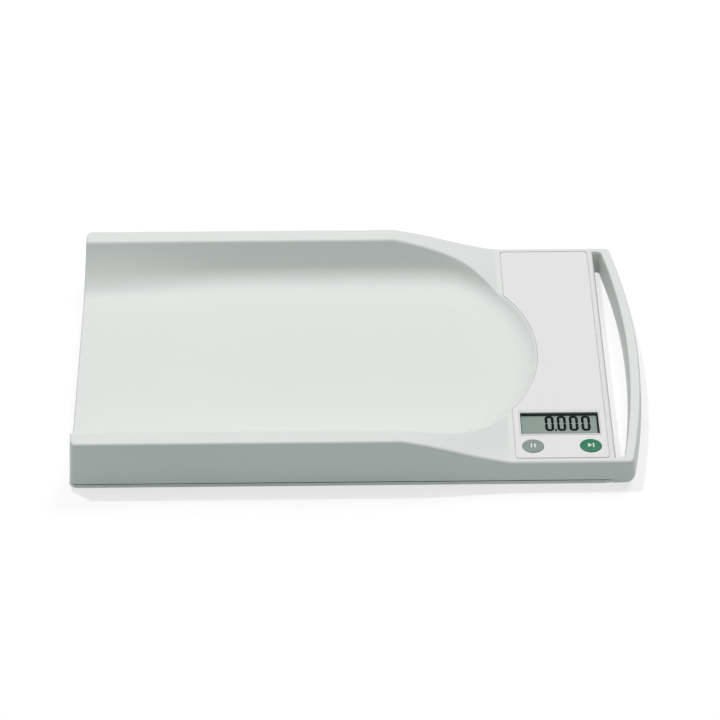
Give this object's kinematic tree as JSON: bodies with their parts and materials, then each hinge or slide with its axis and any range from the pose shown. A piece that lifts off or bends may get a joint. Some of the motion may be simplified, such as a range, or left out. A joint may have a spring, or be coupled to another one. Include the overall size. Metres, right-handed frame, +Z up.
{
  "type": "digital baby weighing scale",
  "caption": "Low white trough, open at one end and scooped at the other, with a display and two oval keys on its deck and a slotted carrying handle.",
  "frame": {"origin": "middle of the overall length and width, on the plane the four rubber feet stand on", "axes": "+X from the trough's open end towards the carrying handle, +Y away from the side with the keys, +Z up"},
  "size_m": [0.5885, 0.314, 0.0694],
  "materials": {
    "housing_white": "satin moulded plastic",
    "base_grey": "fine matt grain",
    "foil": "smooth printed film",
    "clear_window": "clear and glossy",
    "black_foam": "matt",
    "display_glass": "grey-green, polished",
    "display_segments": "dark",
    "inner_plastic": "plain",
    "contact_strip": "matt",
    "board_green": "solder mask",
    "component_black": "moulded",
    "steel": "zinc plated",
    "key_green": "satin",
    "key_grey": "satin",
    "pad_rubber": "matt",
    "foot_plastic": "plain",
    "cell_sleeve": "glossy plain sleeve",
    "lead_grey": "matt",
    "lead_red": "matt"
  },
  "bodies": {
    "housing": {"tray_shell": "housing_white", "display_bezel": "housing_white", "base_cover": "base_grey", "panel_foil": "foil", "display_window": "clear_window", "display_gasket": "black_foam", "lcd_glass": "display_glass", "lcd_digits": "display_segments", "lcd_holder": "inner_plastic", "cell_holder_front_left": "inner_plastic", "cell_holder_rear_left": "inner_plastic", "cell_holder_front_right": "inner_plastic", "cell_holder_rear_right": "inner_plastic", "zebra_strips": "contact_strip", "main_board": "board_green", "board_parts": "component_black", "switch_bodies": "component_black", "board_screws": "steel", "holder_screws": "steel", "housing_screws": "steel", "battery_contacts": "steel", "load_cell_front_left": "steel", "load_cell_rear_left": "steel", "load_cell_front_right": "steel", "load_cell_rear_right": "steel", "foot_pad_front_left": "pad_rubber", "foot_pad_rear_left": "pad_rubber", "foot_pad_front_right": "pad_rubber", "foot_pad_rear_right": "pad_rubber", "foot_front_left": "foot_plastic", "foot_rear_left": "foot_plastic", "foot_front_right": "foot_plastic", "foot_rear_right": "foot_plastic", "battery_cell_1": "cell_sleeve", "battery_cell_2": "cell_sleeve", "battery_cell_3": "cell_sleeve", "battery_cell_4": "cell_sleeve", "sensor_leads": "lead_grey", "battery_leads": "lead_red"},
    "key_start": {"key_start": "key_green", "plunger_start": "component_black"},
    "key_hold": {"key_hold": "key_grey", "plunger_hold": "component_black"},
    "battery_door": {"battery_door": "base_grey"}
  },
  "joints": [
    {"name": "key_start_press", "type": "slide", "parent": "housing", "child": "key_start", "axis": [0, 0, -1], "range_m": [0, 0.0005], "stiffness_N_per_m": 2000},
    {"name": "key_hold_press", "type": "slide", "parent": "housing", "child": "key_hold", "axis": [0, 0, -1], "range_m": [0, 0.0005], "stiffness_N_per_m": 2000},
    {"name": "battery_door_hinge", "type": "hinge", "parent": "housing", "child": "battery_door", "pos_m": [0.21525, 0.0773, 0.0036], "axis": [1, 0, 0], "range_deg": [0, 90]}
  ]
}
